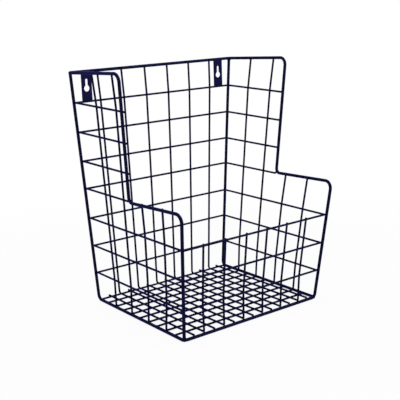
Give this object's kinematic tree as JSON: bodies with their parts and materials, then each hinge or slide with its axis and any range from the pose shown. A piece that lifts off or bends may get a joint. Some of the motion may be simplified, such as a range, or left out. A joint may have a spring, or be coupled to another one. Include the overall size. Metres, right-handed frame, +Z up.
{
  "type": "hanging file rack",
  "caption": "Wall rack for files, welded from round wire: full-height upright back, stepped side arms, low leaning front pocket, and keyhole plates under the rear rim for hanging on screws.",
  "frame": {"origin": "middle of the overall width and depth, at the underside of the base rods", "axes": "+X to the right along the wall, +Y into the wall, +Z up; the files are put in from above and from the front (-Y)"},
  "size_m": [0.3208, 0.2592, 0.378],
  "materials": {
    "rod_coat": "dark navy powder coat, semi-gloss",
    "wire_coat": "dark navy powder coat, semi-gloss",
    "plate_coat": "dark navy powder coat, semi-gloss"
  },
  "bodies": {
    "root": {"back_wire_1": "wire_coat", "back_wire_2": "wire_coat", "back_wire_3": "wire_coat", "back_wire_4": "wire_coat", "back_wire_5": "wire_coat", "back_wire_6": "wire_coat", "corner_rod_left": "rod_coat", "corner_rod_right": "rod_coat", "cross_wire_1": "wire_coat", "cross_wire_2": "wire_coat", "cross_wire_3": "wire_coat", "cross_wire_4": "wire_coat", "cross_wire_5": "wire_coat", "floor_wire_1": "wire_coat", "floor_wire_2": "wire_coat", "floor_wire_3": "wire_coat", "floor_wire_4": "wire_coat", "floor_wire_5": "wire_coat", "floor_wire_6": "wire_coat", "floor_wire_7": "wire_coat", "hanging_plate_left": "plate_coat", "hanging_plate_right": "plate_coat", "level_wire_1": "wire_coat", "level_wire_2": "wire_coat", "level_wire_3": "wire_coat", "level_wire_4": "wire_coat", "pocket_ring_1": "wire_coat", "pocket_ring_2": "wire_coat", "pocket_ring_3": "wire_coat", "rear_wire": "wire_coat", "rim_rod": "rod_coat", "side_wire_1": "wire_coat", "side_wire_2": "wire_coat", "side_wire_3": "wire_coat", "side_wire_4": "wire_coat"}
  },
  "joints": []
}
